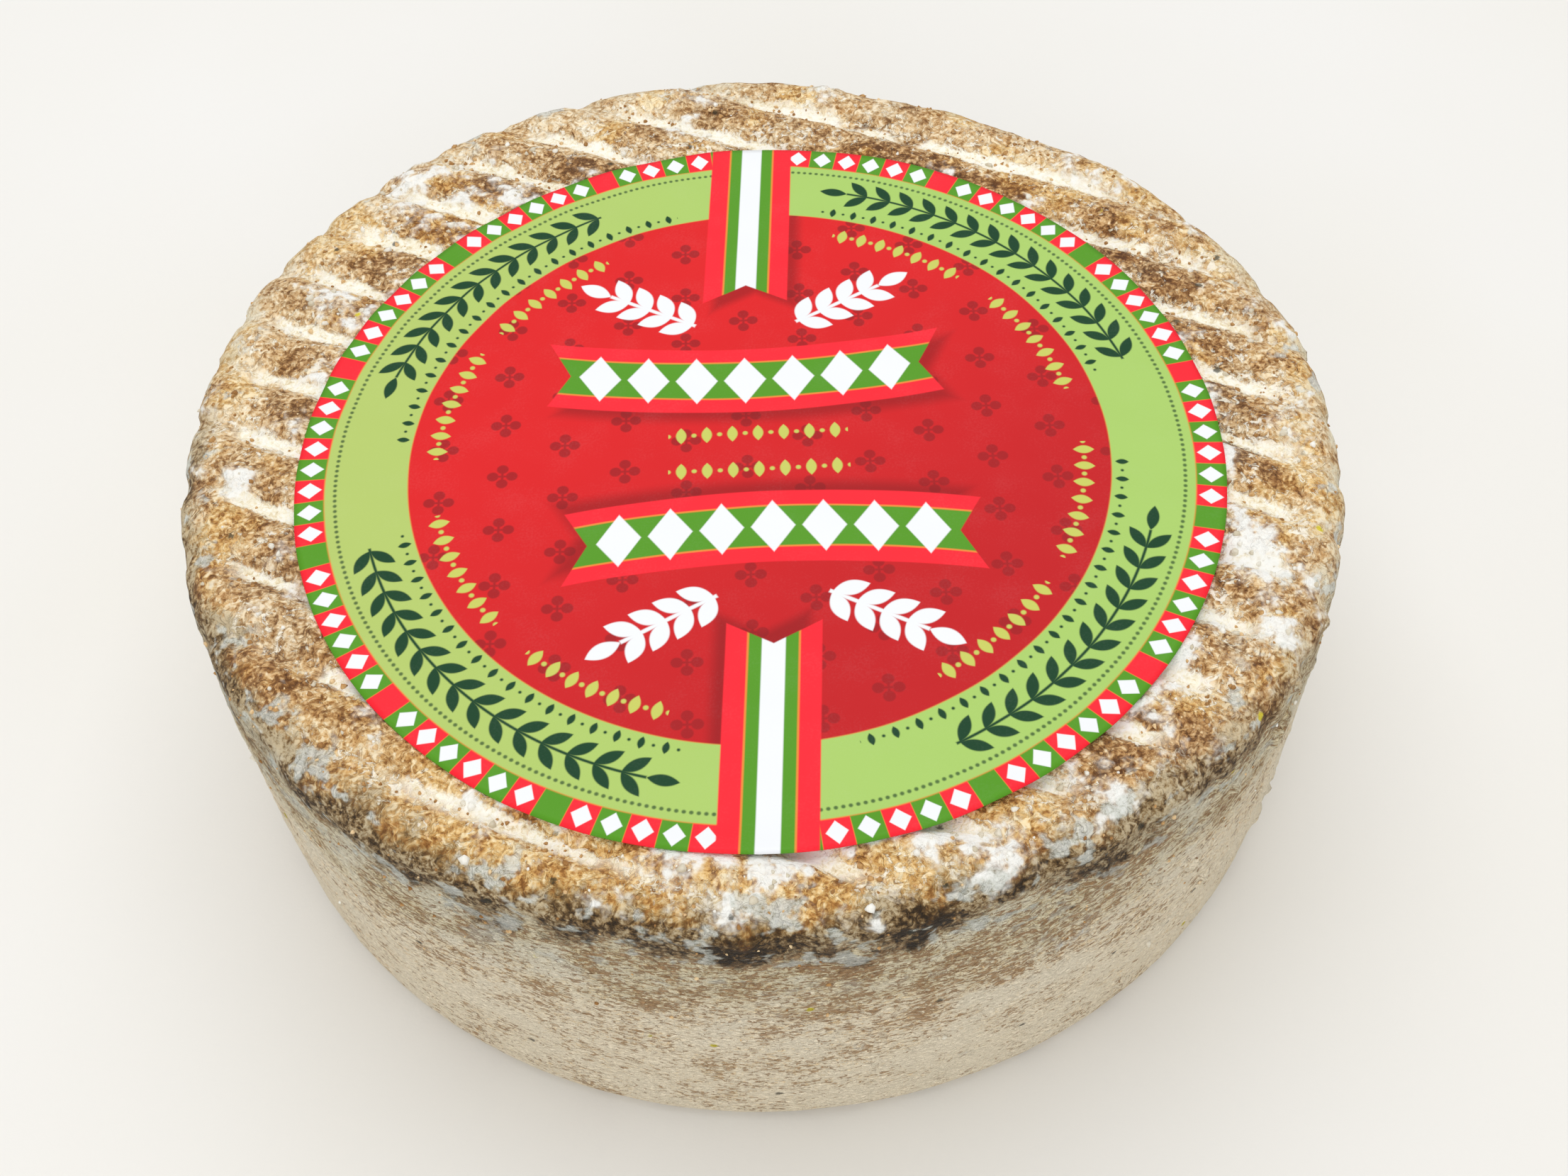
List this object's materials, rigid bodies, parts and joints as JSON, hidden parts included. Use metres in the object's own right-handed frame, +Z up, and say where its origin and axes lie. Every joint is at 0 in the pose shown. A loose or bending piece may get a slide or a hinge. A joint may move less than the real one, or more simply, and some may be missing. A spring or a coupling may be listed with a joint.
{
  "type": "cheese wheel",
  "caption": "Whole pressed cheese wheel with rounded edges, parallel rack grooves in both flat faces, a mottled mould rind and a round printed paper label on top.",
  "frame": {"origin": "middle of the flat base that the wheel stands on", "axes": "+Z up through the wheel's middle to the labelled face, -Y towards the front, where the label lies nearest the edge"},
  "size_m": [0.257, 0.252, 0.0906],
  "materials": {
    "rind": "matte",
    "label_paper": "satin"
  },
  "bodies": {
    "root": {"cheese_wheel": "rind", "paper_label": "label_paper"}
  },
  "joints": []
}
